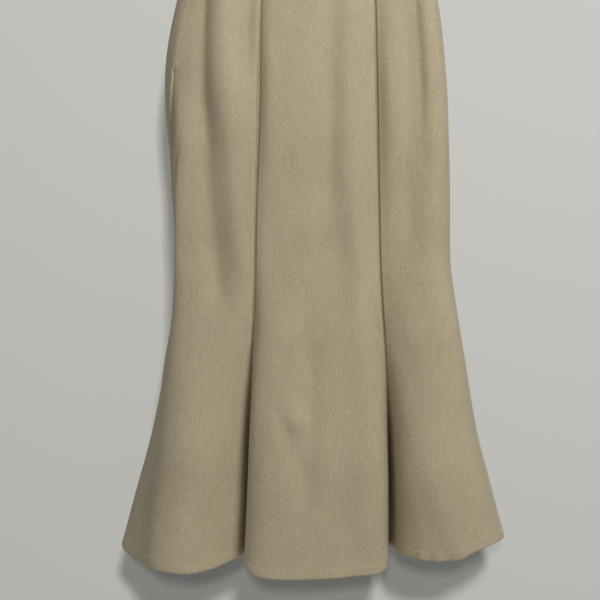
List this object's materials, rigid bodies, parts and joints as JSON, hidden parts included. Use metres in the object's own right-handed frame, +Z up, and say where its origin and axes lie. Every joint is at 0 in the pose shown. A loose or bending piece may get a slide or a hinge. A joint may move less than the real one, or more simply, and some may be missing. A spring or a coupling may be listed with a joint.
{
  "type": "mermaid fishtail skirt",
  "caption": "Long fitted skirt of princess-cut gores that flare below the knee into deep flutes at a fishtail hem, hanging open at waist and hem.",
  "frame": {"origin": "middle of the waist opening, level with the top of the side seams, where the skirt is held", "axes": "+Z up along the hanging skirt, -Y to its front, +X to the wearer's left"},
  "size_m": [0.5428, 0.2048, 0.9002],
  "materials": {
    "cloth": "matt linen-look weave, beige, slightly slubby",
    "zip_tape": "matt woven tape, beige",
    "zip_metal": "beige enamelled metal, satin"
  },
  "bodies": {
    "skirt": {"gore_front_center": "cloth", "gore_front_right": "cloth", "gore_front_left": "cloth", "gore_back_center": "cloth", "gore_back_right": "cloth", "gore_back_left": "cloth", "waistband_front": "cloth", "waistband_back": "cloth", "zip_tape": "zip_tape", "zip_slider": "zip_metal"},
    "pull": {"zip_pull": "zip_metal"}
  },
  "joints": [
    {"name": "pull_swing", "type": "hinge", "parent": "skirt", "child": "pull", "pos_m": [-0.15279, -0.02162, -0.01119], "axis": [-0.8172, 0.5763, 0], "range_deg": [0, 150]}
  ]
}
